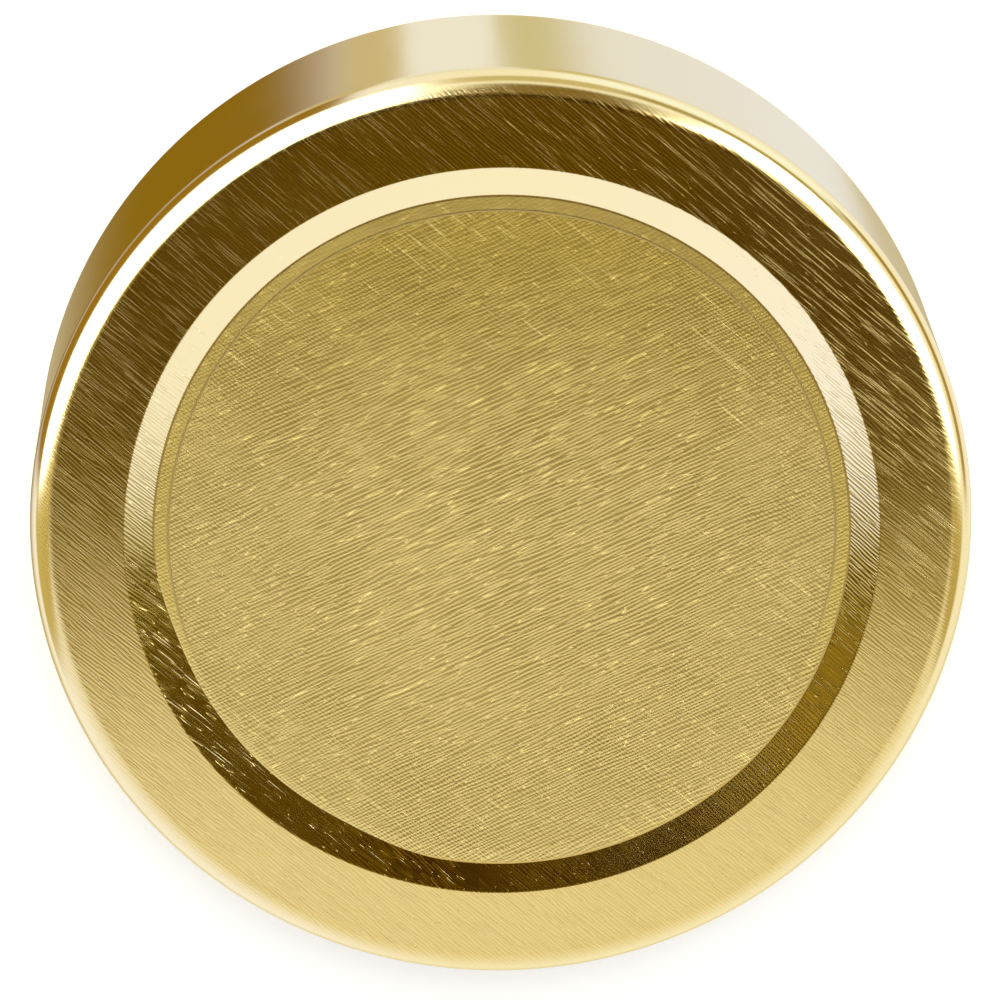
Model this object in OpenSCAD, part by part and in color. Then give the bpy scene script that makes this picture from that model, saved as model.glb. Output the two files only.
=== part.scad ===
// Deep twist-off lid for a glass jar of 58 mm nominal neck size.
// It lies on its open rim: the origin is the centre of the rim, and +Z leaves the panel.

/* [Metal sheet] */
// Outside diameter of the skirt
outer_d = 61; // [52:0.5:72]
// Height from the rim to the highest ring of the top
height = 18.4; // [12:0.1:24]
// Thickness of the metal sheet
sheet_t = 0.2; // [0.15:0.01:0.3]

/* [Top] */
// Bend radius of the shoulder, on its outside
shoulder_r = 1.7; // [1:0.1:2.2]
// Width of the raised sealing channel, from the edge of the step to the outside of the skirt
channel_w = 6.1; // [5:0.1:8]
// Angle by which the sealing channel falls away outwards
channel_fall = 4.5; // [1:0.5:10]
// Width of the conical step between the panel and the channel
step_w = 1.85; // [1.2:0.05:3]
// Angle of the conical step to the panel
step_rise = 12; // [6:1:25]
// Bend radius along the edge of the step
edge_r = 0.45; // [0.2:0.05:0.8]
// Bend radius at the foot of the step
foot_r = 0.5; // [0.3:0.1:2]
// Width of the shallow relief groove round the panel
groove_w = 1; // [0.5:0.1:1.5]
// Angle by which the relief groove falls away from the panel
groove_fall = 1.5; // [1:0.5:5]

/* [Rim] */
// Outside radius of the curl along the rim
curl_r = 0.8; // [0.6:0.05:1.2]
// Angle through which the sheet is rolled in the curl
curl_turn = 285; // [250:5:300]

/* [Lugs] */
// Number of lugs
lug_count = 4; // [3:1:8]
// Length of a lug along its inner edge
lug_l = 9; // [5:0.5:14]
// Angle at which a lug's ends slope out into the curl
lug_slope = 50; // [20:5:65]
// How far the lugs stand in from the curl
lug_reach = 0.95; // [0.6:0.05:1.5]
// Thickness of a lug
lug_t = 1.4; // [1:0.05:1.6]
// Height of a lug's underside above the rim
lug_lift = 0.15; // [0.05:0.05:0.3]
// Rounding along the edges of a lug
lug_round = 0.45; // [0.2:0.05:0.49]
// Direction of the first lug
lug_turn = 0; // [0:5:90]

/* [Sealing ring] */
// Thickness of the compound under the edge of the step
compound_t = 1; // [0.7:0.1:1.5]
// Distance of the compound from the edge of the step
compound_inset = 0.4; // [0.3:0.1:0.8]
// Depth to which the compound runs down the skirt below its sealing face
compound_drop = 1; // [0.6:0.1:1.5]
// Width over which the compound runs down from the sealing face to the skirt
compound_ramp = 0.7; // [0.4:0.1:1]
// Thickness at the lower end of the compound on the skirt
compound_lip = 0.15; // [0.1:0.05:0.3]
// Width over which the compound thins out at its inner edge
compound_bevel = 0.35; // [0.1:0.05:0.5]
// Rounding of the compound's edges
compound_round = 0.4; // [0.1:0.05:0.5]

/* [Hidden] */

$fn = 144;
// Largest turn between two neighbouring points of a bend in the sheet, and on a lug's edges
bend_step = 10;
lug_step = 45;

// Radii of the outer face of the sheet
skirt_r = outer_d / 2;
edge_at = skirt_r - channel_w;
foot_at = edge_at - step_w;
panel_r = foot_at - groove_w;

// Heights of the outer face of the sheet: the edge of the step is a little over the height before it
// is rounded, so that its rounding tops out at the height
edge_loss = edge_r * (cos((step_rise - channel_fall) / 2) / cos((step_rise + channel_fall) / 2) - 1);
edge_z = height + edge_loss;
foot_z = edge_z - step_w * tan(step_rise);
panel_z = foot_z + groove_w * tan(groove_fall);
shoulder_z = edge_z - channel_w * tan(channel_fall);

// Corners of the outer face, from the axis to the skirt, before they are rounded
centre_corner = [0, panel_z];
groove_corner = [panel_r, panel_z];
foot_corner = [foot_at, foot_z];
edge_corner = [edge_at, edge_z];
shoulder_corner = [skirt_r, shoulder_z];

// Middle of the rolled curl in the section
curl_centre = [skirt_r - curl_r, curl_r];

// Inner face of the skirt, where the neck and the compound go
bore_r = skirt_r - sheet_t;

// Lugs: their tips, and their roots inside the hollow of the curl
lug_tip_r = skirt_r - 2 * curl_r - lug_reach;
lug_root_r = curl_centre[0] + (curl_r - sheet_t) / 2;
lug_top = lug_lift + lug_t;

// Compound: inner edge, underside of the sheet there, and the sealing face
compound_in = edge_at + compound_inset;
compound_seat = edge_z - compound_inset * tan(channel_fall) - sheet_t / cos(channel_fall);
compound_face = edge_z - sheet_t - compound_t;
compound_end = compound_face - compound_drop;

function unit(v) = v / norm(v);
function left(v) = [-v[1], v[0]];
function turn(u, v) = atan2(u[0] * v[1] - u[1] * v[0], u * v);

// Points of an arc that starts at one angle and goes on through another
function arc(centre, r, start, sweep, step = bend_step) =
    let (steps = ceil(abs(sweep) / step))
    [for (i = [0:steps]) centre + r * [cos(start + sweep * i / steps), sin(start + sweep * i / steps)]];

// Corner b of the line a-b-c rounded to radius r, offset by depth to the right of the line
function bend(a, b, c, r, depth = 0, step = bend_step) =
    let (
        u = unit(b - a),
        sweep = turn(u, unit(c - b)),
        side = sign(sweep),
        centre = b - r * tan(abs(sweep) / 2) * u + side * r * left(u),
        out = -side * left(u)
    )
    arc(centre, r + side * depth, atan2(out[1], out[0]), sweep, step);

// One face of the sheet from the groove to the edge of the step, depth below the outer face
function step_line(depth) = concat(
    bend(centre_corner, groove_corner, foot_corner, foot_r, depth),
    bend(groove_corner, foot_corner, edge_corner, foot_r, depth),
    bend(foot_corner, edge_corner, shoulder_corner, edge_r, depth)
);

// One face of the sheet round the shoulder
function shoulder_line(depth) =
    bend(edge_corner, shoulder_corner, [skirt_r, 0], shoulder_r, depth);

// One face of the sheet round the curl
function curl_line(depth) = arc(curl_centre, curl_r - depth, 0, -curl_turn);

// One whole face of the sheet, from the axis to the cut edge of the curl
function face_line(depth) = concat(
    [centre_corner - [0, depth]],
    step_line(depth),
    shoulder_line(depth),
    curl_line(depth)
);

function reversed(list) = [for (i = [len(list) - 1:-1:0]) list[i]];

// Section of the pressed sheet
module sheet_section() {
    polygon(concat(face_line(0), reversed(face_line(sheet_t))));
}

// Section of a lug: its root lies in the hollow of the curl, and its nose is rounded
module lug_section() {
    root_top = [lug_root_r, lug_top];
    tip_top = [lug_tip_r, lug_top];
    tip_under = [lug_tip_r, lug_lift];
    root_under = [lug_root_r, lug_lift];
    polygon(concat(
        [root_under, root_top],
        bend(root_top, tip_top, tip_under, lug_round, 0, lug_step),
        bend(tip_top, tip_under, root_under, lug_round, 0, lug_step)
    ));
}

// Outline of a lug seen from above: its ends slope out into the curl, and reach past its root
module lug_outline() {
    tip = [lug_tip_r - lug_t, 0];
    root = [lug_root_r + lug_t, 0];
    half_tip = lug_l / 2 - lug_t * tan(lug_slope);
    half_root = lug_l / 2 + (root[0] - lug_tip_r) * tan(lug_slope);
    polygon([
        tip + [0, half_tip],
        root + [0, half_root],
        root - [0, half_root],
        tip - [0, half_tip]
    ]);
}

// One lug on the +X side
module lug() {
    intersection() {
        rotate_extrude() lug_section();
        linear_extrude(2 * lug_top) lug_outline();
    }
}

// Section of the compound: it takes the sheet's own inner face as its upper side
module compound_section() {
    bed_out = [bore_r - compound_lip - compound_ramp, compound_face];
    bed_in = [compound_in + compound_bevel, compound_face];
    drop_lip = [bore_r - compound_lip, compound_end];
    inner_edge = [compound_in, compound_seat];
    polygon(concat(
        [inner_edge],
        shoulder_line(sheet_t),
        [[bore_r, compound_end], drop_lip],
        bend(drop_lip, bed_out, bed_in, compound_round),
        bend(bed_out, bed_in, inner_edge, compound_round)
    ));
}

module shell() {
    color([0.78, 0.68, 0.38]) {
        rotate_extrude() sheet_section();
        for (i = [0:lug_count - 1])
            rotate([0, 0, lug_turn + i * 360 / lug_count]) lug();
    }
}

module sealing_ring() {
    color([0.88, 0.85, 0.76]) rotate_extrude() compound_section();
}

shell();
sealing_ring();
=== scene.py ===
# Deep twist-off jar lid: gold-lacquered tinplate over a brushed finish, with its cured sealing ring.
# It lies on its open rim at the origin, and +Z leaves the panel.
import math

import bmesh
import bpy
from mathutils import Matrix, Vector


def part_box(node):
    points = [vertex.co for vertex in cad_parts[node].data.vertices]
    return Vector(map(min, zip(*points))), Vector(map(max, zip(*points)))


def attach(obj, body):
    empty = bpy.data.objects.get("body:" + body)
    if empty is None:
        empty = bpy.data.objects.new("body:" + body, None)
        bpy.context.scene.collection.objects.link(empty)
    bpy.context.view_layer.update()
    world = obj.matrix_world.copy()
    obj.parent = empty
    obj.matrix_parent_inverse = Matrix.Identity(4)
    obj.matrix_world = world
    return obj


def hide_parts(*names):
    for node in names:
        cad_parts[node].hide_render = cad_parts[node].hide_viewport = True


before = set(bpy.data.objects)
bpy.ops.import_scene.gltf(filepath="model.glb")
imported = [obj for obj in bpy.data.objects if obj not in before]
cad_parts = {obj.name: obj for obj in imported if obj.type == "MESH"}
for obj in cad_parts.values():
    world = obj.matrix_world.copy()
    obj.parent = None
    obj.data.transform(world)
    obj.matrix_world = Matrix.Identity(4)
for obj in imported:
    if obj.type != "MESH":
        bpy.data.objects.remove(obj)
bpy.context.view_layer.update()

MM = 0.001
ROUND_STEPS = 360

# Outside of the pressing
shell_low, shell_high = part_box("shell")
SKIRT_R = (shell_high.x - shell_low.x) / 2
HEIGHT = shell_high.z
SHEET_T = 0.2 * MM

# Top: flat panel, relief groove, conical step, sealing channel and shoulder
SHOULDER_R = 1.7 * MM
CHANNEL_W = 6.1 * MM
CHANNEL_FALL = math.radians(4.5)
STEP_W = 1.85 * MM
STEP_RISE = math.radians(12)
EDGE_R = 0.45 * MM
FOOT_R = 0.5 * MM
GROOVE_W = 1 * MM
GROOVE_FALL = math.radians(1.5)

# Marks of the press: a crease under the step, and a fine ridge where the groove leaves the panel
CREASE_W = 0.14 * MM
CREASE_DEEP = 0.007 * MM
RIDGE_W = 0.09 * MM
RIDGE_HIGH = 0.004 * MM
# The ridge dies out towards the front, between these two places along Y
RIDGE_FRONT = -12 * MM
RIDGE_BACK = -3 * MM
# The foot of the step swells inwards on one side, the more the further out it lies that way
SWELL = 0.5 * MM
SWELL_TURN = math.radians(221)
SWELL_SIDE = Vector((math.cos(SWELL_TURN), math.sin(SWELL_TURN), 0))
SWELL_FROM = 17.5 * MM
SWELL_TO = 21.5 * MM

# Rim: a rolled curl, and the lugs pressed in from it, which run out over LUG_END at each end
CURL_R = 0.8 * MM
CURL_TURN = math.radians(285)
LUG_COUNT = 4
LUG_L = 9 * MM
LUG_END = 1.7 * MM
LUG_REACH = 0.95 * MM
LUG_LOW = 0.15 * MM
LUG_HIGH = 1.55 * MM

# Sealing ring in the channel: it stays clear of the sheet by a hair, and its face ripples a little
COMPOUND_T = 1 * MM
COMPOUND_INSET = 0.4 * MM
COMPOUND_DROP = 1 * MM
COMPOUND_RAMP = 0.7 * MM
COMPOUND_LIP = 0.15 * MM
COMPOUND_BEVEL = 0.35 * MM
COMPOUND_ROUND = 0.35 * MM
COMPOUND_CLEAR = 0.004 * MM
COMPOUND_RIPPLE = 0.025 * MM

# Mesh: stops that hold a flat next to a bend, the reaches within which points and edges collapse, and the
# turn from which an edge is sharp
FLAT_HOLD = 0.06 * MM
COMPOUND_HOLD = 0.05 * MM
MERGE = 0.0005 * MM
COLLAPSE = 0.0001 * MM
SHARP_TURN = math.radians(50)

# Places along the section, on the outer face of the sheet
EDGE_AT = SKIRT_R - CHANNEL_W
FOOT_AT = EDGE_AT - STEP_W
PANEL_R = FOOT_AT - GROOVE_W
# The edge of the step is a little over the height before it is rounded
EDGE_TURN = math.cos((STEP_RISE - CHANNEL_FALL) / 2) / math.cos((STEP_RISE + CHANNEL_FALL) / 2)
EDGE_LOSS = EDGE_R * (EDGE_TURN - 1)
EDGE_Z = HEIGHT + EDGE_LOSS
FOOT_Z = EDGE_Z - STEP_W * math.tan(STEP_RISE)
PANEL_Z = FOOT_Z + GROOVE_W * math.tan(GROOVE_FALL)
SHOULDER_Z = EDGE_Z - CHANNEL_W * math.tan(CHANNEL_FALL)
CURL_MID = Vector((SKIRT_R - CURL_R, 0, CURL_R))
BORE_R = SKIRT_R - SHEET_T
CHANNEL_END = SKIRT_R - SHOULDER_R

# ---------------------------------------------------------------- sections


def at(r, z):
    return Vector((r, 0, z))


def start_line(bm, point):
    return bmesh.ops.create_vert(bm, co=point)["vert"][0]


def run_to(bm, end, point, hold=0.0):
    """Carries the line straight on to a point, with an extra stop at either end that holds the flat."""
    length = (point - end.co).length
    along = (point - end.co).normalized()
    stops = [length]
    if hold and length > 3 * hold:
        stops = [hold, length - hold, length]
    start = end.co.copy()
    for stop in stops:
        end = bmesh.ops.extrude_vert_indiv(bm, verts=[end])["verts"][0]
        end.co = start + along * stop
    return end


def bend(bm, end, middle, axis, angle, steps):
    """Turns the end of the line about a middle, and leaves an arc behind it."""
    arc = bmesh.ops.spin(bm, geom=[end], cent=middle, axis=axis, angle=angle, steps=steps, use_merge=False)
    return [part for part in arc["geom_last"] if isinstance(part, bmesh.types.BMVert)][0]


def turn_corner(bm, end, corner, beyond, radius, steps, hold=0.0):
    """Runs the line up to a corner and bends it there towards the point beyond."""
    come = (corner - end.co).normalized()
    go = (beyond - corner).normalized()
    angle = come.angle(go)
    end = run_to(bm, end, corner - come * radius * math.tan(angle / 2), hold)
    middle = corner + (go - come).normalized() * radius / math.cos(angle / 2)
    return bend(bm, end, middle, come.cross(go).normalized(), angle, steps)


def spin_round(bm):
    """Turns the finished section once about the lid's axis."""
    bmesh.ops.spin(
        bm,
        geom=bm.verts[:] + bm.edges[:],
        cent=(0, 0, 0),
        axis=(0, 0, 1),
        angle=math.tau,
        steps=ROUND_STEPS,
        use_merge=True,
    )
    bmesh.ops.remove_doubles(bm, verts=bm.verts[:], dist=MERGE)
    bmesh.ops.dissolve_degenerate(bm, edges=bm.edges[:], dist=COLLAPSE)
    bmesh.ops.recalc_face_normals(bm, faces=bm.faces[:])


def finish_piece(bm, name, materials, node):
    """Turns the mesh into a piece of the lid that rides its body and stands for a CAD node."""
    mesh = bpy.data.meshes.new(name)
    for face in bm.faces:
        face.smooth = True
    bm.to_mesh(mesh)
    bm.free()
    mesh.set_sharp_from_angle(angle=SHARP_TURN)
    for material in materials:
        mesh.materials.append(material)
    piece = bpy.data.objects.new(name, mesh)
    bpy.context.scene.collection.objects.link(piece)
    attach(piece, "root")
    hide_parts(node)
    return piece


# ---------------------------------------------------------------- node helpers


def wire(tree, kind, feeds=None, **fields):
    """Adds a node, sets its fields, and feeds its inputs with values or with other nodes' outputs."""
    made = tree.nodes.new(kind)
    for name, value in fields.items():
        setattr(made, name, value)
    for socket, source in (feeds or {}).items():
        if isinstance(source, bpy.types.NodeSocket):
            tree.links.new(source, made.inputs[socket])
        else:
            made.inputs[socket].default_value = source
    return made


def calc(tree, operation, *values):
    return wire(tree, "ShaderNodeMath", dict(enumerate(values)), operation=operation).outputs[0]


def scaled(tree, vector, factors):
    """Multiplies a vector's three parts by three factors."""
    return wire(tree, "ShaderNodeVectorMath", {0: vector, 1: factors}, operation="MULTIPLY").outputs[0]


def fade(tree, value, start, stop, low=0.0, high=1.0):
    """Goes smoothly from low at start to high at stop, and stays level beyond them."""
    feeds = {"Value": value, "From Min": start, "From Max": stop, "To Min": low, "To Max": high}
    return wire(tree, "ShaderNodeMapRange", feeds, interpolation_type="SMOOTHSTEP").outputs["Result"]


def blend_colour(tree, mask, colour, over, mode="MIX"):
    """Lays one colour over another where the mask is 1. A Mix node has its colours in sockets 6, 7 and 2."""
    feeds = {0: mask, 6: colour, 7: over}
    return wire(tree, "ShaderNodeMix", feeds, data_type="RGBA", blend_type=mode).outputs[2]


def new_group(name, inputs, outputs):
    """Makes a shader node group, and returns it with the sockets of its input and of its output node."""
    group = bpy.data.node_groups.new(name, "ShaderNodeTree")
    for socket, kind in inputs.items():
        group.interface.new_socket(socket, in_out="INPUT", socket_type=kind)
    for socket, kind in outputs.items():
        group.interface.new_socket(socket, in_out="OUTPUT", socket_type=kind)
    return group, group.nodes.new("NodeGroupInput").outputs, group.nodes.new("NodeGroupOutput").inputs


def place(tree, group, feeds):
    """Puts a group in a tree, and returns its outputs."""
    return wire(tree, "ShaderNodeGroup", feeds, node_tree=group).outputs


FLOAT = "NodeSocketFloat"
VECTOR = "NodeSocketVector"


# Brushing: a noise of this scale makes the strokes sway, and along Z the pattern is this much longer
SWAY_SCALE = 160.0
DOWN_STRETCH = 6.0
# Scale of the noise that moves the strokes' phase, and of the hairlines' own, counted in strokes
PATCH_SCALE = (1.0, 0.45, 0.45)
HAIR_SCALE = (0.4, 3.2, 3.2)
# How high the strokes rise over their mean, least and most
RISE_LEAST = 0.08
RISE_MOST = 0.105
# A hairline shows where its noise passes an edge, which a cover of 1 lowers by HAIR_GAIN
HAIR_EDGE = 0.78
HAIR_GAIN = 0.3
HAIR_SOFT = 0.1


def brushing_group():
    """Strokes of a wire brush along X: the close grain, and the hairlines that stand out of it. The grain is
    a wave across the strokes with the given width, and a noise moves its phase from patch to patch."""
    group, given, made = new_group(
        "brushing",
        {"Vector": VECTOR, "Length": FLOAT, "Width": FLOAT, "Sway": FLOAT, "Cover": FLOAT},
        {"Grain": FLOAT, "Hairs": FLOAT},
    )
    sway_feeds = {"Vector": given["Vector"], "Scale": SWAY_SCALE, "Detail": 0.0}
    sway = wire(group, "ShaderNodeTexNoise", sway_feeds).outputs[0]
    drift = calc(group, "MULTIPLY", calc(group, "SUBTRACT", sway, 0.5), given["Sway"])
    split = wire(group, "ShaderNodeSeparateXYZ", {"Vector": given["Vector"]}).outputs
    along = calc(group, "DIVIDE", split["X"], given["Length"])
    across = calc(group, "DIVIDE", calc(group, "ADD", split["Y"], drift), given["Width"])
    down = calc(group, "DIVIDE", split["Z"], calc(group, "MULTIPLY", given["Width"], DOWN_STRETCH))
    bristles = wire(group, "ShaderNodeCombineXYZ", {"X": along, "Y": across, "Z": down}).outputs[0]
    patch_feeds = {"Vector": scaled(group, bristles, PATCH_SCALE), "Scale": 1.0, "Detail": 0.0}
    patch = wire(group, "ShaderNodeTexNoise", patch_feeds).outputs["Color"]
    drawn = wire(group, "ShaderNodeSeparateColor", {"Color": patch}).outputs
    wander = [calc(group, "SUBTRACT", channel, 0.5) for channel in drawn[:2]]
    phase = calc(group, "ADD", calc(group, "MULTIPLY", across, math.tau), calc(group, "ARCTAN2", *wander))
    rise = fade(group, drawn[2], 0.35, 0.65, RISE_LEAST, RISE_MOST)
    wave = calc(group, "MULTIPLY", calc(group, "SINE", phase), rise)
    hair_feeds = {"Vector": scaled(group, bristles, HAIR_SCALE), "Scale": 1.0, "Detail": 0.0}
    hair = wire(group, "ShaderNodeTexNoise", hair_feeds).outputs[0]
    edge = calc(group, "SUBTRACT", HAIR_EDGE, calc(group, "MULTIPLY", given["Cover"], HAIR_GAIN))
    group.links.new(calc(group, "ADD", 0.5, wave), made["Grain"])
    group.links.new(fade(group, hair, edge, calc(group, "ADD", edge, HAIR_SOFT)), made["Hairs"])
    return group


def specks_group():
    """Tiny round spots, a few to the square centimetre, for dust and pits."""
    group, given, made = new_group(
        "specks", {"Vector": VECTOR, "Spacing": FLOAT, "Size": FLOAT, "Share": FLOAT}, {"Spots": FLOAT}
    )
    cell_feeds = {"Vector": given["Vector"], "Scale": calc(group, "DIVIDE", 1.0, given["Spacing"])}
    cells = wire(group, "ShaderNodeTexVoronoi", cell_feeds, voronoi_dimensions="3D")
    reach = calc(group, "DIVIDE", given["Size"], given["Spacing"])
    near = fade(group, cells.outputs["Distance"], reach, calc(group, "MULTIPLY", reach, 0.5))
    pick = wire(group, "ShaderNodeSeparateColor", {"Color": cells.outputs["Color"]}).outputs[0]
    chosen = calc(group, "LESS_THAN", pick, given["Share"])
    group.links.new(calc(group, "MULTIPLY", near, chosen), made["Spots"])
    return group


def mottle_group():
    """Soft cloudiness in the lacquer, between -1 and 1."""
    group, given, made = new_group("mottle", {"Vector": VECTOR, "Patch": FLOAT}, {"Cloud": FLOAT})
    scale = calc(group, "DIVIDE", 1.0, given["Patch"])
    noise = wire(group, "ShaderNodeTexNoise", {"Vector": given["Vector"], "Scale": scale, "Detail": 3.0})
    group.links.new(fade(group, noise.outputs[0], 0.3, 0.7, -1.0, 1.0), made["Cloud"])
    return group


BRUSHING = brushing_group()
SPECKS = specks_group()
MOTTLE = mottle_group()

# ---------------------------------------------------------------- finishes

# Lacquer over the parts of the lid
GOLD = (0.87, 0.70, 0.27, 1)
GOLD_DEEP = (0.74, 0.54, 0.11, 1)
GOLD_PALE = (0.92, 0.80, 0.44, 1)
STEP_PALE = (0.93, 0.80, 0.46, 1)
PANEL_DEEP = (0.76, 0.58, 0.18, 1)
PANEL_GOLD = (0.90, 0.72, 0.26, 1)
# Painted shade: a brown for the crease under the step
CREASE_PAINTED_SHADE = (0.74, 0.54, 0.16, 1)
FOOT_DEEP = (0.84, 0.64, 0.17, 1)
FOOT_GOLD = (0.97, 0.76, 0.22, 1)
CHANNEL_GOLD = (0.80, 0.63, 0.24, 1)
CHANNEL_DEEP = (0.70, 0.52, 0.16, 1)
SKIRT_GOLD = (0.86, 0.72, 0.36, 1)
SHOULDER_GOLD = (0.92, 0.78, 0.40, 1)
# Painted shade: factors on the colour, which darken the panel towards +Y and the step towards -Y, and the
# places along Y between which they come in
PANEL_PAINTED_SHADE = ((0.80, 0.74, 0.46, 1), 0.0, 23 * MM)
STEP_PAINTED_SHADE = ((1.0, 0.94, 0.5, 1), 4 * MM, -6 * MM)
# Angles of the strokes to X
PANEL_STROKES = math.radians(25.5)
CHANNEL_STROKES = math.radians(-40.5)
# From the middle out to the panel's rim: where the cross scratches start to thicken, and where they start
# to tell more in the grain, with their share in it in the middle and at the rim
RIM_FROM = 14 * MM
CROSS_FROM = 8 * MM
CROSS_MIDDLE = 0.22
CROSS_RIM = 0.42
# Soft edges of the line along the ridge, off its middle, and of the crease with its painted shade, in from
# the step
RIDGE_LINE = (0.12 * MM, 0.08 * MM)
CREASE_LINE = (0.17 * MM, 0.11 * MM)
# The strokes on the groove are deeper in front
FRONT_DEPTH = 1.6
# Where the brushing dies out: over which width, and how much of it stays
KEEP_SOFT = 1.2 * MM
KEEP_LEAST = 0.1
# The grain's heights between which the deep tint goes over into the plain one
GRAIN_DEEP = 0.36
GRAIN_PLAIN = 0.6
# Cloudiness of the roughness, the roughness of the ridge and the crease, and the lacquer's gloss
CLOUD_PATCH = 9 * MM
CLOUD_ROUGH = 0.015
LINE_ROUGH = 0.26
COAT = 0.05
COAT_ROUGH = 0.12

# Sealing compound: two tones in soft patches, a few darker specks, and the fine skin that it sets with
COMPOUND_DARK = (0.76, 0.72, 0.61, 1)
COMPOUND_LIGHT = (0.83, 0.80, 0.71, 1)
COMPOUND_SPECK = (0.55, 0.5, 0.4, 1)
COMPOUND_PATCH = 4 * MM
SPECK_SPACING = 2.2 * MM
SPECK_SIZE = 0.09 * MM
SPECK_SHARE = 0.35
SKIN_SCALE = 900.0
SKIN_DEPTH = 0.02 * MM
SKIN_SMOOTH = 0.38
SKIN_ROUGH = 0.52


def new_material(name):
    material = bpy.data.materials.new(name)
    material.use_nodes = True
    tree = material.node_tree
    shader = tree.nodes["Principled BSDF"]
    place_of = wire(tree, "ShaderNodeTexCoord").outputs["Object"]
    return material, tree, shader, place_of


def turned(tree, place_of, angle):
    """Turns the pattern so that its X runs along the strokes."""
    return wire(tree, "ShaderNodeMapping", {"Vector": place_of, "Rotation": (0, 0, -angle)}).outputs[0]


def brushed_gold(
    name, strokes, cross, depth, hair_depth, smooth, rough, tints,
    rim_cover=None, keep_from=None, creased=False, shade=None,
):
    """Gold lacquer over brushed tinplate. Strokes and cross are the angle, length, width, sway and cover of
    the brushing and of the scratches across it, and depth and hair_depth are the depths of the brushing and
    of its hairlines. Smooth and rough are the roughness between the hairlines and in them, and the tints
    are those of the furrows, of the rest and of the hairlines. The scratches thicken towards the panel's rim
    where rim_cover is given, the brushing dies out beyond keep_from, and shade is painted shade, a factor on
    the colour with the places along Y between which it comes in. A creased finish has painted shade, a
    brown, in the crease under the step, is plain gold along the ridge of the groove, and takes the panel's
    tints in front, where the ridge has died out."""
    material, tree, shader, place_of = new_material(name)
    links = tree.links
    split = wire(tree, "ShaderNodeSeparateXYZ", {"Vector": place_of}).outputs
    flat = wire(tree, "ShaderNodeCombineXYZ", {"X": split["X"], "Y": split["Y"]}).outputs[0]
    reach = wire(tree, "ShaderNodeVectorMath", {0: flat}, operation="LENGTH").outputs["Value"]
    names = ("Length", "Width", "Sway", "Cover")
    strokes = {"Vector": turned(tree, place_of, strokes[0]), **dict(zip(names, strokes[1:]))}
    brush = place(tree, BRUSHING, strokes)
    grain, hairs = brush["Grain"], brush["Hairs"]
    if cross:
        cross = {"Vector": turned(tree, place_of, cross[0]), **dict(zip(names, cross[1:]))}
        if rim_cover:
            cross["Cover"] = fade(tree, reach, RIM_FROM, PANEL_R, cross["Cover"], rim_cover)
        across = place(tree, BRUSHING, cross)
        hairs = calc(tree, "MAXIMUM", hairs, across["Hairs"])
        crossed = fade(tree, reach, CROSS_FROM, PANEL_R, CROSS_MIDDLE, CROSS_RIM)
        change = calc(tree, "MULTIPLY", crossed, calc(tree, "SUBTRACT", across["Grain"], grain))
        grain = calc(tree, "ADD", grain, change)
    height = calc(tree, "ADD", calc(tree, "MULTIPLY", hairs, hair_depth / depth), grain)
    deep, plain, pale = tints
    if creased:
        behind = fade(tree, split["Y"], RIDGE_FRONT, RIDGE_BACK)
        deep = blend_colour(tree, behind, PANEL_DEEP, deep)
        plain = blend_colour(tree, behind, PANEL_GOLD, plain)
        off_ridge = calc(tree, "ABSOLUTE", calc(tree, "SUBTRACT", reach, PANEL_R))
        ridge = calc(tree, "MULTIPLY", fade(tree, off_ridge, *RIDGE_LINE), behind)
        crease = fade(tree, calc(tree, "SUBTRACT", FOOT_AT, reach), *CREASE_LINE)
        open_metal = calc(tree, "SUBTRACT", 1.0, calc(tree, "MAXIMUM", ridge, crease))
        hairs = calc(tree, "MULTIPLY", hairs, open_metal)
        height = calc(tree, "MULTIPLY", calc(tree, "SUBTRACT", height, 0.5), open_metal)
        deeper = fade(tree, split["Y"], RIDGE_FRONT, RIDGE_BACK, FRONT_DEPTH, 1.0)
        height = calc(tree, "MULTIPLY", height, deeper)
    if keep_from:
        keep = fade(tree, reach, keep_from, keep_from + KEEP_SOFT, 1.0, KEEP_LEAST)
        hairs = calc(tree, "MULTIPLY", hairs, keep)
        height = calc(tree, "MULTIPLY", height, keep)
    tint = blend_colour(tree, fade(tree, grain, GRAIN_DEEP, GRAIN_PLAIN), deep, plain)
    # Painted shade: the colour is darkened by a factor along Y
    if shade:
        factor, start, stop = shade
        tint = blend_colour(tree, fade(tree, split["Y"], start, stop), tint, factor, "MULTIPLY")
    if keep_from:
        tint = blend_colour(tree, keep, SHOULDER_GOLD, tint)
    if creased:
        tint = blend_colour(tree, ridge, tint, GOLD)
        # Painted shade in the crease under the step
        tint = blend_colour(tree, crease, tint, CREASE_PAINTED_SHADE)
    links.new(blend_colour(tree, hairs, tint, pale), shader.inputs["Base Color"])
    cloud = place(tree, MOTTLE, {"Vector": place_of, "Patch": CLOUD_PATCH})["Cloud"]
    even = calc(tree, "ADD", smooth, calc(tree, "MULTIPLY", cloud, CLOUD_ROUGH))
    roughness = calc(tree, "ADD", even, calc(tree, "MULTIPLY", hairs, rough - smooth))
    if creased:
        over_line = calc(tree, "MULTIPLY", open_metal, calc(tree, "SUBTRACT", roughness, LINE_ROUGH))
        roughness = calc(tree, "ADD", LINE_ROUGH, over_line)
    links.new(roughness, shader.inputs["Roughness"])
    bump = wire(tree, "ShaderNodeBump", {"Height": height, "Distance": depth, "Strength": 1.0})
    links.new(bump.outputs[0], shader.inputs["Normal"])
    shader.inputs["Metallic"].default_value = 1.0
    shader.inputs["Coat Weight"].default_value = COAT
    shader.inputs["Coat Roughness"].default_value = COAT_ROUGH
    return material


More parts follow.
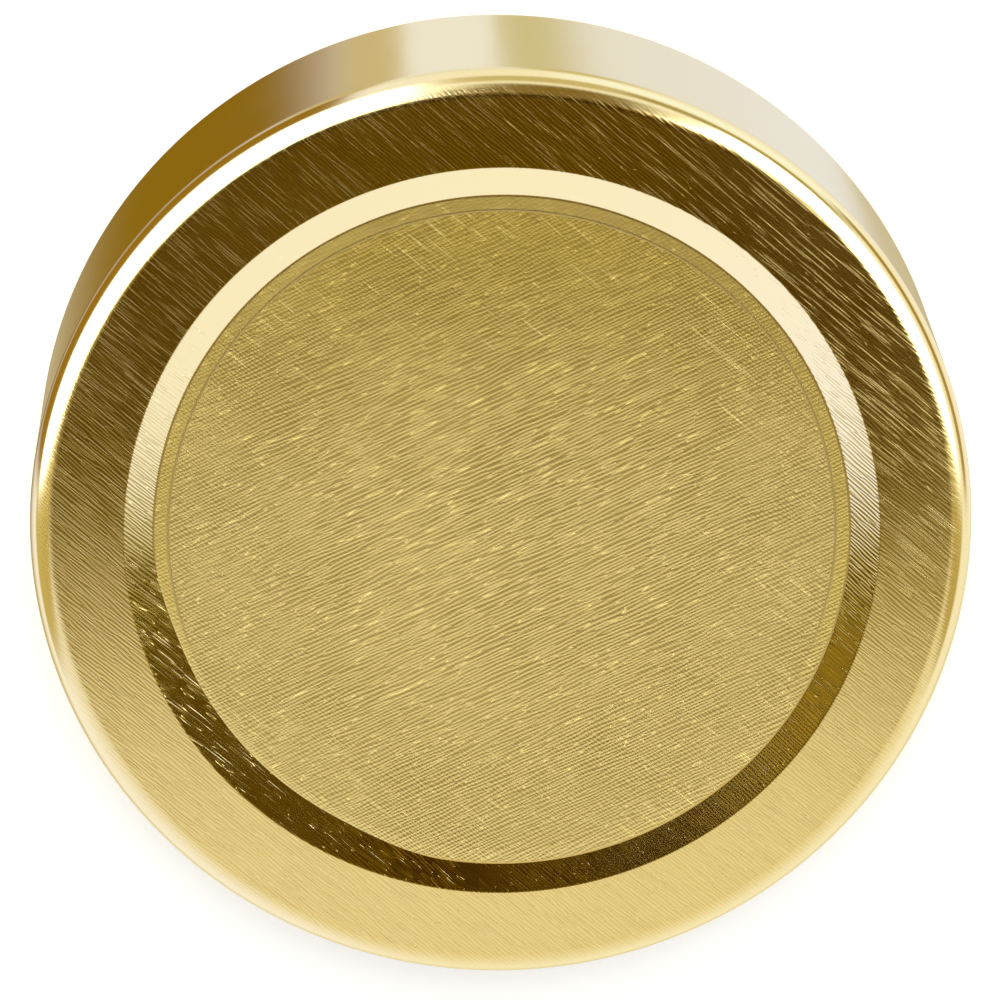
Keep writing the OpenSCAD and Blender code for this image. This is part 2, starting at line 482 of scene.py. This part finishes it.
def compound_finish():
    """Cured sealing compound: off-white, a little glossy, with the skin that it sets with."""
    material, tree, shader, place_of = new_material("sealing_compound")
    links = tree.links
    cloud = place(tree, MOTTLE, {"Vector": place_of, "Patch": COMPOUND_PATCH})["Cloud"]
    skin_feeds = {"Vector": place_of, "Scale": SKIN_SCALE, "Detail": 3.0}
    skin = wire(tree, "ShaderNodeTexNoise", skin_feeds).outputs[0]
    speck_feeds = {"Spacing": SPECK_SPACING, "Size": SPECK_SIZE, "Share": SPECK_SHARE}
    spots = place(tree, SPECKS, {"Vector": place_of, **speck_feeds})["Spots"]
    base = blend_colour(tree, fade(tree, cloud, -1.0, 1.0), COMPOUND_DARK, COMPOUND_LIGHT)
    links.new(blend_colour(tree, spots, base, COMPOUND_SPECK), shader.inputs["Base Color"])
    links.new(fade(tree, skin, 0.3, 0.7, SKIN_SMOOTH, SKIN_ROUGH), shader.inputs["Roughness"])
    bump = wire(tree, "ShaderNodeBump", {"Height": skin, "Distance": SKIN_DEPTH, "Strength": 1.0})
    links.new(bump.outputs[0], shader.inputs["Normal"])
    return material


# ---------------------------------------------------------------- pressing

# The finishes of the shell, in the order of its materials
PANEL_ZONE, FOOT_ZONE, STEP_ZONE, CHANNEL_ZONE, SKIRT_ZONE, INSIDE_ZONE = range(6)
SKIRT_TOP = SHOULDER_Z - 1.2 * MM
# Lugs: the wall that they are pressed from ends at LUG_TOP, and follows fully from 1 / LUG_GRIP of the
# curl's radius inwards
LUG_TOP = 2.5 * CURL_R
LUG_GRIP = 1.4


def zone_of(face):
    """The finish that a face of the outside takes, by where it lies."""
    middle = face.calc_center_median()
    reach = math.hypot(middle.x, middle.y)
    if middle.z < SKIRT_TOP:
        return SKIRT_ZONE
    if reach < PANEL_R - RIDGE_W:
        return PANEL_ZONE
    if reach < FOOT_AT:
        return FOOT_ZONE
    if reach < EDGE_AT:
        return STEP_ZONE
    return CHANNEL_ZONE


def eased(value, start, stop):
    """Goes smoothly from 0 at start to 1 at stop, and stays level beyond them."""
    share = min(max((value - start) / (stop - start), 0), 1)
    return share * share * (3 - 2 * share)


def press_marks(bm):
    """Lets the ridge die out towards the front, and swells the foot of the step inwards on one side."""
    for vert in bm.verts:
        reach = math.hypot(vert.co.x, vert.co.y)
        if reach < PANEL_R - 2 * RIDGE_W or reach > EDGE_AT:
            continue
        if reach < PANEL_R + 2 * RIDGE_W:
            level = PANEL_Z - max(reach - PANEL_R, 0) * math.tan(GROOVE_FALL)
            vert.co.z = level + (vert.co.z - level) * eased(vert.co.y, RIDGE_FRONT, RIDGE_BACK)
        if reach > FOOT_AT:
            share = (EDGE_AT - reach) / STEP_W
        else:
            share = max(reach - PANEL_R, 0) / GROOVE_W
        swell = SWELL * share * eased(vert.co.dot(SWELL_SIDE), SWELL_FROM, SWELL_TO)
        vert.co.x *= 1 - swell / reach
        vert.co.y *= 1 - swell / reach


def press_lugs(bm):
    """Presses the lugs in from the curl, with soft ends."""
    middle = (LUG_LOW + LUG_HIGH) / 2
    squeeze = (LUG_HIGH - LUG_LOW) / 2 / CURL_R
    pitch = math.tau / LUG_COUNT
    for vert in bm.verts:
        reach = math.hypot(vert.co.x, vert.co.y)
        inward = (CURL_MID.x - reach) / CURL_R
        if vert.co.z > LUG_TOP or inward <= 0:
            continue
        azimuth = math.atan2(vert.co.y, vert.co.x)
        off = abs((azimuth + pitch / 2) % pitch - pitch / 2) * reach
        press = eased(off, (LUG_L + LUG_END) / 2, (LUG_L - LUG_END) / 2) * min(inward * LUG_GRIP, 1)
        new_reach = reach - LUG_REACH * press
        vert.co.x *= new_reach / reach
        vert.co.y *= new_reach / reach
        vert.co.z += (middle + (vert.co.z - CURL_R) * squeeze - vert.co.z) * press


def make_shell(materials):
    """Draws the outer face's section, spins it, and gives it the sheet's thickness."""
    bm = bmesh.new()
    edge = at(EDGE_AT, EDGE_Z)
    foot = at(FOOT_AT, FOOT_Z)
    groove = at(PANEL_R, PANEL_Z)
    shoulder = at(SKIRT_R, SHOULDER_Z)
    crease = at(FOOT_AT - CREASE_W, FOOT_Z + CREASE_W * math.tan(GROOVE_FALL))
    foot.z -= CREASE_DEEP
    ridge = groove + Vector((0, 0, RIDGE_HIGH))
    before_ridge = groove - Vector((RIDGE_W, 0, 0))
    after_ridge = groove + Vector((RIDGE_W, 0, 0))
    end = start_line(bm, at(0, PANEL_Z))
    end = turn_corner(bm, end, before_ridge, ridge, 2 * FOOT_R, steps=2)
    end = turn_corner(bm, end, ridge, after_ridge, FOOT_R, steps=3)
    end = turn_corner(bm, end, after_ridge, crease, 2 * FOOT_R, steps=2)
    end = turn_corner(bm, end, crease, foot, FOOT_R / 2, steps=3)
    end = turn_corner(bm, end, foot, edge, FOOT_R / 2, steps=5)
    end = turn_corner(bm, end, edge, shoulder, EDGE_R, steps=6, hold=FLAT_HOLD)
    end = turn_corner(bm, end, shoulder, at(SKIRT_R, 0), SHOULDER_R, steps=20, hold=FLAT_HOLD)
    end = run_to(bm, end, at(SKIRT_R, CURL_R), FLAT_HOLD)
    bend(bm, end, CURL_MID, (0, 1, 0), CURL_TURN, steps=36)
    spin_round(bm)
    for face in bm.faces:
        face.material_index = zone_of(face)
    press_marks(bm)
    press_lugs(bm)
    outside = set(bm.faces)
    bmesh.ops.solidify(bm, geom=bm.faces[:], thickness=SHEET_T)
    for face in set(bm.faces) - outside:
        face.material_index = INSIDE_ZONE
    return finish_piece(bm, "lid_shell", materials, "shell")


# ---------------------------------------------------------------- sealing ring

# The ripple in the sealing face, within RIPPLE_NEAR of it: share, waves round the ring, and start
RIPPLES = ((1.0, 7, 0), (0.6, 17, 1), (0.4, 31, 2))
RIPPLE_NEAR = 0.2 * MM


def make_sealing_ring(material):
    """Draws the compound's section against the sheet's inner face, spins it, and ripples its lower face."""
    bm = bmesh.new()
    seat_z = EDGE_Z - COMPOUND_INSET * math.tan(CHANNEL_FALL) - SHEET_T / math.cos(CHANNEL_FALL)
    face_z = EDGE_Z - SHEET_T - COMPOUND_T
    end_z = face_z - COMPOUND_DROP
    wall = BORE_R - COMPOUND_CLEAR
    begin = at(EDGE_AT + COMPOUND_INSET, seat_z - COMPOUND_CLEAR)
    inner_corner = at(wall, begin.z - (wall - begin.x) * math.tan(CHANNEL_FALL))
    wall_end = at(wall, end_z)
    lip = at(BORE_R - COMPOUND_LIP, end_z)
    bed_out = at(BORE_R - COMPOUND_LIP - COMPOUND_RAMP, face_z)
    bed_in = at(EDGE_AT + COMPOUND_INSET + COMPOUND_BEVEL, face_z)
    end = start_line(bm, begin)
    end = turn_corner(bm, end, inner_corner, wall_end, SHOULDER_R - SHEET_T, steps=12)
    end = run_to(bm, end, wall_end)
    end = run_to(bm, end, lip)
    end = turn_corner(bm, end, bed_out, bed_in, COMPOUND_ROUND, steps=5, hold=COMPOUND_HOLD)
    end = turn_corner(bm, end, bed_in, begin, COMPOUND_ROUND, steps=5, hold=COMPOUND_HOLD)
    run_to(bm, end, begin)
    bmesh.ops.remove_doubles(bm, verts=bm.verts[:], dist=MERGE)
    spin_round(bm)
    for vert in bm.verts:
        if abs(vert.co.z - face_z) < RIPPLE_NEAR:
            azimuth = math.atan2(vert.co.y, vert.co.x)
            wave = sum(share * math.sin(waves * azimuth + start) for share, waves, start in RIPPLES)
            vert.co.z += COMPOUND_RIPPLE * wave / 2
    return finish_piece(bm, "lid_compound", [material], "sealing_ring")


# ---------------------------------------------------------------- the two pieces

# Tints of the furrows, of the rest and of the hairlines
PANEL_TINTS = (PANEL_DEEP, PANEL_GOLD, PANEL_GOLD)
FOOT_TINTS = (FOOT_DEEP, FOOT_GOLD, FOOT_GOLD)
STEP_TINTS = (STEP_PALE, STEP_PALE, STEP_PALE)
CHANNEL_TINTS = (CHANNEL_DEEP, CHANNEL_GOLD, CHANNEL_GOLD)
SKIRT_TINTS = (SKIRT_GOLD, SKIRT_GOLD, SKIRT_GOLD)
INSIDE_TINTS = (GOLD_DEEP, GOLD, GOLD_PALE)
# Angle, length, width, sway and cover of the strokes
PANEL_BRUSH = (PANEL_STROKES, 1.9 * MM, 0.24 * MM, 0.05 * MM, -0.3)
PANEL_CROSS = (CHANNEL_STROKES, 1.5 * MM, 0.22 * MM, 0.05 * MM, 0.0)
STEP_BRUSH = (CHANNEL_STROKES, 1.6 * MM, 0.2 * MM, 0.1 * MM, 0.3)
CHANNEL_BRUSH = (CHANNEL_STROKES, 1.5 * MM, 0.22 * MM, 0.1 * MM, 0.55)
SKIRT_BRUSH = (PANEL_STROKES, 3 * MM, 0.5 * MM, 0.5 * MM, -1.0)
INSIDE_BRUSH = (PANEL_STROKES, 6 * MM, 0.5 * MM, 0.4 * MM, 0.2)
# Depths of the brushing and of its hairlines, and the roughness between the hairlines and in them
PANEL_METAL = (0.072 * MM, 0.003 * MM, 0.305, 0.305)
FOOT_METAL = (0.045 * MM, 0.003 * MM, 0.30, 0.30)
STEP_METAL = (0.0195 * MM, 0.001 * MM, 0.11, 0.13)
CHANNEL_METAL = (0.012 * MM, 0.0016 * MM, 0.14, 0.22)
SKIRT_METAL = (0.001 * MM, 0.0, 0.14, 0.28)
INSIDE_METAL = (0.003 * MM, 0.002 * MM, 0.24, 0.34)
RIM_COVER = 0.15

panel_gold = brushed_gold(
    "panel_gold", PANEL_BRUSH, PANEL_CROSS, *PANEL_METAL, PANEL_TINTS, rim_cover=RIM_COVER, shade=PANEL_PAINTED_SHADE
)
foot_gold = brushed_gold("foot_gold", PANEL_BRUSH, PANEL_CROSS, *FOOT_METAL, FOOT_TINTS, creased=True)
step_gold = brushed_gold("step_gold", STEP_BRUSH, None, *STEP_METAL, STEP_TINTS, shade=STEP_PAINTED_SHADE)
channel_gold = brushed_gold(
    "channel_gold", CHANNEL_BRUSH, None, *CHANNEL_METAL, CHANNEL_TINTS, keep_from=CHANNEL_END
)
skirt_gold = brushed_gold("skirt_gold", SKIRT_BRUSH, None, *SKIRT_METAL, SKIRT_TINTS)
inside_gold = brushed_gold("inside_gold", INSIDE_BRUSH, None, *INSIDE_METAL, INSIDE_TINTS)
make_shell([panel_gold, foot_gold, step_gold, channel_gold, skirt_gold, inside_gold])
make_sealing_ring(compound_finish())

# ---------------------------------------------------------------- studio

# Patches of the studio that the metal mirrors, each in front of the ones before it. The figures are the
# azimuth of its middle, half its width, the angles off the zenith between which it stands, the width of its
# soft edge, all in degrees, and its light.
STUDIO_PATCHES = {
    "bench_right": (-10, 96, 150, 200, 8, (0.89, 0.91, 0.99)),
    "bench_right_far": (-66, 18, 150, 200, 6, (0.62, 0.58, 0.50)),
    "bench_front": (-90, 62, 120, 200, 12, (0.88, 0.82, 0.60)),
    "bench_front_low": (-90, 62, 156, 200, 5, (0.62, 0.53, 0.33)),
    "bench_left": (178, 51, 136, 230, 27, (0.28, 0.16, 0.006)),
    "bench_straw": (119, 9, 136, 230, 5, (0.66, 0.56, 0.32)),
    "bench_tan": (74, 12, 136, 230, 10, (0.68, 0.62, 0.38)),
    "bench_pale": (97, 13, 130, 230, 1.5, (0.96, 0.98, 1.06)),
    "dark_left": (152, 38, 93, 136, 3, (0.34, 0.20, 0.02)),
    "tan_right": (84, 14, 66, 92, 4, (0.66, 0.58, 0.36)),
    "olive_right": (50, 20, 72, 89, 3, (0.42, 0.36, 0.14)),
    "pale_right": (52, 28, 95, 125, 4, (1.08, 1.2, 1.5)),
    "brown_right": (10, 22, 92, 111, 3, (0.42, 0.30, 0.08)),
    "softbox_left": (138, 34, 16, 87, 2, (4.2, 4.3, 4.8)),
    "softbox_left_end": (179, 11, 23, 87, 2, (4.2, 4.3, 4.8)),
    "softbox_right": (22, 31, 22, 73, 2, (4.2, 4.3, 4.8)),
    "gap": (78, 15, 8, 54, 6, (0.22, 0.145, 0.02)),
    "gap_right": (-24, 10, 34, 78, 4, (0.55, 0.46, 0.18)),
    "gap_left": (202, 11, 34, 98, 4, (0.62, 0.52, 0.22)),
    "amber_right": (38, 18, 14, 23, 3, (0.36, 0.22, 0.02)),
    "amber_left": (197, 13, 15, 26, 4, (0.38, 0.27, 0.05)),
}
SURROUND = (1.04, 1.04, 1.10, 1)
SURROUND_COOL = (1.06, 1.10, 1.45, 1)
SURROUND_WARM = (0.60, 0.53, 0.28, 1)
OVERHEAD = (0.20, 0.13, 0.004, 1)
OVERHEAD_DEEP = (0.045, 0.020, 0.0004, 1)
# The dark overhead comes in between these angles off the zenith. Its front end runs nearly straight across
# and bends back a little to both sides, and a warm rim stands in front of it.
OVERHEAD_LOW = math.radians(45)
OVERHEAD_HIGH = math.radians(24)
OVERHEAD_BEND = 0.12
WARM_END = (-0.44, -0.33)
OVERHEAD_END = (-0.40, -0.24)
# It deepens behind its front end, and to both sides of the middle
DEEP_END = (-0.16, 0.04)
DEEP_ASIDE = (0.02, 0.14)
DEEP_ASIDE_SHARE = 0.7
# The surround cools towards -X between these places
COOL_SIDE = (0.0, -0.4)
WHITE = (1, 1, 1, 1)
# White light that the diffuse surfaces see
BOUNCE = 0.5

FLOOR_R = 2.0
FLOOR_SIDES = 96
FLOOR_DROP = 0.02 * MM
FLOOR_WHITE = (0.85, 0.85, 0.85, 1)
# What the floor gives off towards the camera alone, so that it reads as white
FLOOR_LIFT = 0.31

LAMP_SIZE = 0.25
LAMP_POWER = 3.9
LAMP_AWAY = 1.0
LAMP_LEAN = math.radians(20)

CAMERA_LENS = 229.3
CAMERA_TILT = math.radians(-16.44)
CAMERA_SWING = math.radians(-1.67)
# Where the middle of the lid's top lies, seen from the camera
CAMERA_TOP = Vector((0.155, -2.333, -410.7)) * MM


def patch_group():
    """A mask over part of the sky, from an azimuth and two angles off the zenith."""
    sockets = ("Azimuth", "Off Zenith", "Middle", "Half", "From", "To", "Edge")
    group, given, made = new_group("studio_patch", {socket: FLOAT for socket in sockets}, {"Mask": FLOAT})

    def inner(end):
        return calc(group, "SUBTRACT", given[end], given["Edge"])

    def outer(end):
        return calc(group, "ADD", given[end], given["Edge"])

    turn_off = calc(group, "SUBTRACT", given["Azimuth"], given["Middle"])
    side = calc(group, "ABSOLUTE", calc(group, "WRAP", turn_off, math.pi, -math.pi))
    within = fade(group, side, outer("Half"), inner("Half"))
    above = fade(group, given["Off Zenith"], inner("From"), outer("From"))
    below = fade(group, given["Off Zenith"], outer("To"), inner("To"))
    group.links.new(calc(group, "MULTIPLY", within, calc(group, "MULTIPLY", above, below)), made["Mask"])
    return group


def build_world():
    """The studio for the rays that the metal mirrors, white for the camera, and even light for the rest."""
    world = bpy.data.worlds.new("studio")
    bpy.context.scene.world = world
    world.use_nodes = True
    tree = world.node_tree
    tree.nodes.clear()
    heading = wire(tree, "ShaderNodeTexCoord").outputs["Generated"]
    split = wire(tree, "ShaderNodeSeparateXYZ", {"Vector": heading}).outputs
    azimuth = calc(tree, "ARCTAN2", split["Y"], split["X"])
    off_zenith = calc(tree, "ARCCOSINE", split["Z"])
    patch = patch_group()
    high = fade(tree, off_zenith, OVERHEAD_LOW, OVERHEAD_HIGH)
    sideways = calc(tree, "ABSOLUTE", split["X"])
    line = calc(tree, "SUBTRACT", split["Y"], calc(tree, "MULTIPLY", sideways, OVERHEAD_BEND))
    warm = calc(tree, "MULTIPLY", fade(tree, line, *WARM_END), high)
    dark = calc(tree, "MULTIPLY", fade(tree, line, *OVERHEAD_END), high)
    colour = blend_colour(tree, fade(tree, split["X"], *COOL_SIDE), SURROUND, SURROUND_COOL)
    colour = blend_colour(tree, warm, colour, SURROUND_WARM)
    aside = fade(tree, sideways, *DEEP_ASIDE, 0.0, DEEP_ASIDE_SHARE)
    deep = calc(tree, "MAXIMUM", fade(tree, split["Y"], *DEEP_END), aside)
    overhead = blend_colour(tree, deep, OVERHEAD, OVERHEAD_DEEP)
    colour = blend_colour(tree, dark, colour, overhead)
    for middle, half, start, stop, soft, light in STUDIO_PATCHES.values():
        feeds = {"Middle": middle, "Half": half, "From": start, "To": stop, "Edge": soft}
        feeds = {socket: math.radians(value) for socket, value in feeds.items()}
        mask = place(tree, patch, {"Azimuth": azimuth, "Off Zenith": off_zenith, **feeds})["Mask"]
        colour = blend_colour(tree, mask, colour, (*light, 1))
    rays = wire(tree, "ShaderNodeLightPath").outputs
    mirrored = wire(tree, "ShaderNodeBackground", {"Color": colour}).outputs[0]
    plain = wire(tree, "ShaderNodeBackground", {"Color": WHITE, "Strength": BOUNCE}).outputs[0]
    white = wire(tree, "ShaderNodeBackground", {"Color": WHITE, "Strength": 1.0}).outputs[0]
    glossy = calc(tree, "MAXIMUM", rays["Is Glossy Ray"], rays["Is Transmission Ray"])
    lit = wire(tree, "ShaderNodeMixShader", {0: glossy, 1: plain, 2: mirrored}).outputs[0]
    seen = wire(tree, "ShaderNodeMixShader", {0: rays["Is Camera Ray"], 1: lit, 2: white}).outputs[0]
    wire(tree, "ShaderNodeOutputWorld", {"Surface": seen})


def build_floor():
    """The white bench under the lid."""
    bm = bmesh.new()
    bmesh.ops.create_circle(bm, cap_ends=True, segments=FLOOR_SIDES, radius=FLOOR_R)
    mesh = bpy.data.meshes.new("floor")
    bm.to_mesh(mesh)
    bm.free()
    floor = bpy.data.objects.new("floor", mesh)
    floor.location.z = -FLOOR_DROP
    bpy.context.scene.collection.objects.link(floor)
    material = bpy.data.materials.new("floor_white")
    material.use_nodes = True
    tree = material.node_tree
    tree.nodes.clear()
    matt = wire(tree, "ShaderNodeBsdfDiffuse", {"Color": FLOOR_WHITE}).outputs[0]
    rays = wire(tree, "ShaderNodeLightPath").outputs
    strength = calc(tree, "MULTIPLY", rays["Is Camera Ray"], FLOOR_LIFT)
    lift = wire(tree, "ShaderNodeEmission", {"Strength": strength}).outputs[0]
    both = wire(tree, "ShaderNodeAddShader", {0: matt, 1: lift}).outputs[0]
    wire(tree, "ShaderNodeOutputMaterial", {"Surface": both})
    mesh.materials.append(material)
    floor.visible_glossy = False


def build_lamp():
    """A soft lamp over the bench, leaning to the camera's side. It isn't seen in the metal."""
    light = bpy.data.lights.new("bench_lamp", "AREA")
    light.shape = "DISK"
    light.size = LAMP_SIZE
    light.energy = LAMP_POWER
    lamp = bpy.data.objects.new("bench_lamp", light)
    lamp.location = Vector((0, math.sin(LAMP_LEAN), math.cos(LAMP_LEAN))) * LAMP_AWAY
    lamp.rotation_euler = (-LAMP_LEAN, 0, 0)
    lamp.visible_glossy = False
    lamp.visible_camera = False
    bpy.context.scene.collection.objects.link(lamp)


def build_camera():
    """A long lens, looking down on the lid from its +Y side."""
    camera = bpy.data.cameras.new("camera")
    camera.sensor_width = 36
    camera.lens = CAMERA_LENS
    camera.clip_start = 0.01
    camera.clip_end = 10
    eye = bpy.data.objects.new("camera", camera)
    turn = Matrix.Rotation(CAMERA_TILT, 4, "X") @ Matrix.Rotation(CAMERA_SWING, 4, "Y")
    eye.matrix_world = Matrix.Translation(Vector((0, 0, HEIGHT)) - turn @ CAMERA_TOP) @ turn
    bpy.context.scene.collection.objects.link(eye)
    bpy.context.scene.camera = eye


build_world()
build_floor()
build_lamp()
build_camera()
bpy.context.scene.view_settings.view_transform = "Standard"
